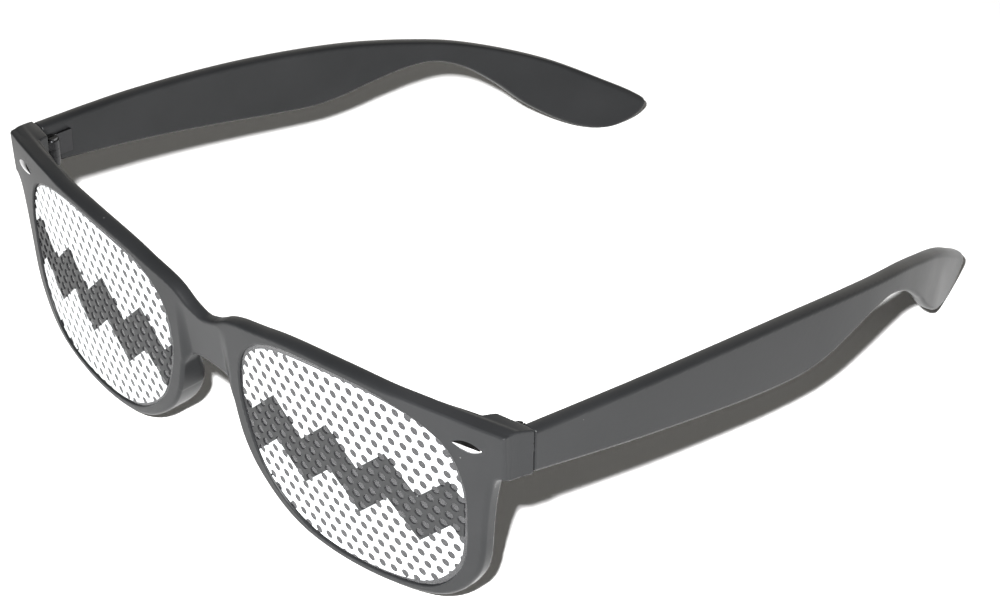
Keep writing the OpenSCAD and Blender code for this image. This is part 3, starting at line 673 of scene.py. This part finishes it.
def place(tree):
    """The place on the object in its own coordinates, in metres."""
    return tree.nodes.new("ShaderNodeTexCoord").outputs["Object"]


def noise(tree, scale, detail):
    """A noise texture on the object's own coordinates."""
    node = tree.nodes.new("ShaderNodeTexNoise")
    node.inputs["Scale"].default_value = scale
    node.inputs["Detail"].default_value = detail
    tree.links.new(place(tree), node.inputs["Vector"])
    return node.outputs["Fac"]


def ramp(tree, value, low, high, to_low, to_high):
    """Maps a value from one range to another, and holds it at the ends."""
    node = tree.nodes.new("ShaderNodeMapRange")
    for name, v in (("From Min", low), ("From Max", high), ("To Min", to_low), ("To Max", to_high)):
        node.inputs[name].default_value = v
    tree.links.new(value, node.inputs["Value"])
    return node.outputs["Result"]


def bump(tree, height, distance, strength):
    """A bump from a height between 0 and 1, over a distance in metres."""
    node = tree.nodes.new("ShaderNodeBump")
    node.inputs["Distance"].default_value = distance
    node.inputs["Strength"].default_value = strength
    tree.links.new(height, node.inputs["Height"])
    return node.outputs["Normal"]


def mix_colour(tree, share, a, b):
    """Mixes two colours, each a socket or a tuple, by a share."""
    node = tree.nodes.new("ShaderNodeMix")
    node.data_type = "RGBA"
    tree.links.new(share, node.inputs["Factor"])
    for socket, colour in ((node.inputs[6], a), (node.inputs[7], b)):
        if isinstance(colour, tuple):
            socket.default_value = (*colour, 1)
        else:
            tree.links.new(colour, socket)
    return node.outputs[2]


def calc(tree, operation, *values):
    """A Math node on values, each a socket or a number."""
    node = tree.nodes.new("ShaderNodeMath")
    node.operation = operation
    for socket, v in zip(node.inputs, values):
        if isinstance(v, (int, float)):
            socket.default_value = v
        else:
            tree.links.new(v, socket)
    return node.outputs[0]


def plastic():
    """Black moulded plastic: a soft gloss that varies with handling, faint ripples, and a little dust."""
    material, tree, shader = new_material("black_plastic")
    smudge = noise(tree, 55, 4)
    specks = tree.nodes.new("ShaderNodeTexVoronoi")
    specks.inputs["Scale"].default_value = 130
    tree.links.new(place(tree), specks.inputs["Vector"])
    dust = ramp(tree, specks.outputs["Distance"], 0.016, 0.024, 1, 0)
    tone = ramp(tree, smudge, 0.3, 0.7, 0, 1)
    clean = mix_colour(tree, tone, (0.0095, 0.0099, 0.0105), (0.0130, 0.0134, 0.0142))
    tree.links.new(mix_colour(tree, dust, clean, (0.12, 0.12, 0.12)), shader.inputs["Base Color"])
    tree.links.new(ramp(tree, smudge, 0.3, 0.7, 0.33, 0.42), shader.inputs["Roughness"])
    tree.links.new(bump(tree, noise(tree, 900, 2), 0.00002, 0.35), shader.inputs["Normal"])
    shader.inputs["Specular IOR Level"].default_value = 0.145
    return material


def tinted():
    """Dark tinted lens: polished, and mostly opaque."""
    material, tree, shader = new_material("tinted_lens")
    shader.inputs["Base Color"].default_value = (0.022, 0.022, 0.024, 1)
    tree.links.new(ramp(tree, noise(tree, 90, 3), 0.3, 0.7, 0.07, 0.14), shader.inputs["Roughness"])
    shader.inputs["Alpha"].default_value = 0.76
    return material


def metal(name, colour, rough, grain):
    """Metal with a fine grain in its gloss and a trace of tone variation."""
    material, tree, shader = new_material(name)
    shader.inputs["Metallic"].default_value = 1
    tone = noise(tree, grain, 3)
    dull = tuple(0.85 * c for c in colour)
    tree.links.new(mix_colour(tree, tone, dull, colour), shader.inputs["Base Color"])
    tree.links.new(ramp(tree, tone, 0.3, 0.7, rough * 0.8, rough * 1.25), shader.inputs["Roughness"])
    tree.links.new(bump(tree, noise(tree, grain * 3, 1), 0.00001, 0.4), shader.inputs["Normal"])
    return material


# The print on a film: the zigzag band's half height, its edge's blur and its drop below the lens's middle.
# Its line rises over half a tooth by a share of the distance across, and falls again
BAND_HALF, BAND_BLUR, BAND_DROP, TOOTH_HALF, TOOTH_SLOPE = 5.0, 0.1, 3.5, 6.8, 0.95


def film_vinyl():
    """White vinyl with a generic print: a zigzag band of dark grey. The half metre that is added across keeps
    the zigzag's input above zero."""
    material, tree, shader = new_material("printed_film")
    split = tree.nodes.new("ShaderNodeSeparateXYZ")
    tree.links.new(place(tree), split.inputs[0])
    across = calc(tree, "SUBTRACT", calc(tree, "ABSOLUTE", split.outputs[0]), LENS_X / 1000)
    wave = calc(tree, "PINGPONG", calc(tree, "ADD", across, 0.5), TOOTH_HALF / 1000)
    up = calc(tree, "SUBTRACT", split.outputs[2], (LENS_Z - BAND_DROP) / 1000)
    away = calc(tree, "ABSOLUTE", calc(tree, "SUBTRACT", up, calc(tree, "MULTIPLY", wave, TOOTH_SLOPE)))
    band = ramp(tree, away, (BAND_HALF - BAND_BLUR) / 1000, (BAND_HALF + BAND_BLUR) / 1000, 1, 0)
    grain = noise(tree, 700, 2)
    dark = mix_colour(tree, grain, (0.008, 0.0084, 0.009), (0.016, 0.0165, 0.017))
    white = mix_colour(tree, noise(tree, 40, 3), (0.50, 0.52, 0.53), (0.56, 0.57, 0.57))
    tree.links.new(mix_colour(tree, band, white, dark), shader.inputs["Base Color"])
    tree.links.new(ramp(tree, grain, 0.3, 0.7, 0.42, 0.52), shader.inputs["Roughness"])
    tree.links.new(bump(tree, noise(tree, 260, 3), 0.00003, 0.5), shader.inputs["Normal"])
    shader.inputs["Specular IOR Level"].default_value = 0.2
    return material


def paper():
    """The pale floor: matt white with a trace of mottling."""
    material, tree, shader = new_material("pale_floor")
    mottled = mix_colour(tree, noise(tree, 6, 2), (0.94, 0.94, 0.935), (0.96, 0.96, 0.955))
    tree.links.new(mottled, shader.inputs["Base Color"])
    shader.inputs["Roughness"].default_value = 0.8
    return material


# The object

# Each side, and whether its shape is mirrored
SIDES = (("left", False), ("right", True))


def dress_plastic():
    """The front and the two temples, in black plastic."""
    black = plastic()
    piece("front", front_shape(), black, "front", "frame_front")
    temple = temple_shape()
    for side, flip in SIDES:
        name = "temple_" + side
        piece(name + "_skin", temple, black, side + "_arm", name, flip)


def dress_face():
    """The lenses and the films on them, flat-shaded, and the rivets beside them."""
    glass, vinyl = tinted(), film_vinyl()
    chrome = metal("rivet_chrome", (0.62, 0.62, 0.63), 0.06, 800)
    edge = film_line()
    lens = sheet_shape(grown(-LENS_FIT), [], 0, LENS_T, LENS_STEP)
    film = sheet_shape(edge, film_holes(edge), -FILM_T, -FILM_LIFT, 0)
    rivet = rivet_shape()
    for side, flip in SIDES:
        piece("lens_" + side + "_pane", lens, glass, "front", "lens_" + side, flip, False)
        piece("film_" + side + "_sheet", film, vinyl, "front", "film_" + side, flip, False)
        piece("rivet_" + side + "_head", rivet, chrome, "front", "rivet_" + side, flip)


def dress_hinges():
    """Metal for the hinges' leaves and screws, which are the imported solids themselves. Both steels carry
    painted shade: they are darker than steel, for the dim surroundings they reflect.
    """
    # Painted shade: both base colours are far darker than steel's own, standing for dim reflections; the
    # screws' steel is darkened less than the leaves'
    steel = metal("hinge_steel", (0.045, 0.045, 0.047), 0.40, 1500)
    bright = metal("screw_steel", (0.12, 0.12, 0.123), 0.30, 1500)
    for name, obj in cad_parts.items():
        if "leaf" in name or "screw" in name:
            for slot in obj.material_slots:
                slot.material = bright if "screw" in name else steel


# Floor, light and camera

# Side of the floor
FLOOR = 6000.0
# The sky's glow low down behind the part, and its light elsewhere
GLOW, SKY_LEAST = 1.7, 0.03
# The photo's camera: its turn, its tilt down and its roll, in degrees, its place and its lens
VIEW_TURN, VIEW_DOWN, VIEW_ROLL = 46.442, 32.268, 0.855
EYE = (341.847, -248.891, 305.314)
SENSOR, FOCAL = 36.0, 97.55
# Its flash: the place to the left of the lens, up and ahead, the side, the power, and the height it aims at
FLASH_LEFT, FLASH_UP, FLASH_AHEAD, FLASH_SIDE, FLASH_POWER, FLASH_AIM = 35.0, 45.0, 20.0, 18.0, 10.0, 20.0


def make_floor():
    """A white surface that the part stands on."""
    bpy.ops.mesh.primitive_plane_add(size=FLOOR / 1000, location=(0, 0, 0))
    floor = bpy.context.object
    floor.name = "floor"
    floor.data.materials.append(paper())


def make_sky():
    """A dark room with a warm glow behind the part: it grows with a direction's share of +Y, fades out with
    its share of +Z, and is added to the least light."""
    world = bpy.data.worlds.new("studio")
    bpy.context.scene.world = world
    world.use_nodes = True
    tree = world.node_tree
    way = tree.nodes.new("ShaderNodeSeparateXYZ")
    tree.links.new(tree.nodes.new("ShaderNodeTexCoord").outputs["Generated"], way.inputs[0])
    behind = ramp(tree, way.outputs[1], -0.1, 0.5, 0, 1)
    low_down = ramp(tree, way.outputs[2], 0, 0.6, GLOW, 0)
    light = calc(tree, "MULTIPLY_ADD", behind, low_down, SKY_LEAST)
    tree.links.new(light, tree.nodes["Background"].inputs["Strength"])
    tree.nodes["Background"].inputs["Color"].default_value = (1, 0.97, 0.91, 1)


def view_axes():
    """Unit vectors to the right, down and ahead in the view: a level right and its down, rolled about the
    line of sight."""
    turn, tilt, roll = (math.radians(a) for a in (VIEW_TURN, VIEW_DOWN, VIEW_ROLL))
    ahead = np.array([-math.sin(turn) * math.cos(tilt), math.cos(turn) * math.cos(tilt), -math.sin(tilt)])
    level = np.array([math.cos(turn), math.sin(turn), 0])
    under = np.cross(ahead, level)
    right = math.cos(roll) * level - math.sin(roll) * under
    down = math.sin(roll) * level + math.cos(roll) * under
    return right, down, ahead


def make_camera(eye, right, down, ahead):
    """The photo's camera."""
    camera = bpy.data.objects.new("camera", bpy.data.cameras.new("camera"))
    bpy.context.scene.collection.objects.link(camera)
    camera.data.sensor_width, camera.data.lens = SENSOR, FOCAL
    camera.data.clip_start, camera.data.clip_end = 0.01, 20
    turned = Matrix(np.stack([right, -down, -ahead], 1).tolist()).to_4x4()
    camera.matrix_world = Matrix.Translation(eye.tolist()) @ turned
    bpy.context.scene.camera = camera


def make_flash(eye, right, down, ahead):
    """The small bright flash beside the camera's lens, a square light turned to the part."""
    light = bpy.data.lights.new("flash", "AREA")
    light.size, light.energy = FLASH_SIDE / 1000, FLASH_POWER
    flash = bpy.data.objects.new("flash", light)
    bpy.context.scene.collection.objects.link(flash)
    spot = Vector((eye + (FLASH_AHEAD * ahead - FLASH_LEFT * right - FLASH_UP * down) / 1000).tolist())
    flash.location = spot
    flash.rotation_euler = (Vector((0, 0, FLASH_AIM / 1000)) - spot).to_track_quat("-Z", "Y").to_euler()


dress_plastic()
dress_face()
dress_hinges()
make_floor()
make_sky()
view = (np.array([EYE[0], EYE[1] - MID_Y, EYE[2]]) / 1000, *view_axes())
make_camera(*view)
make_flash(*view)
bpy.context.scene.view_settings.view_transform = "Standard"
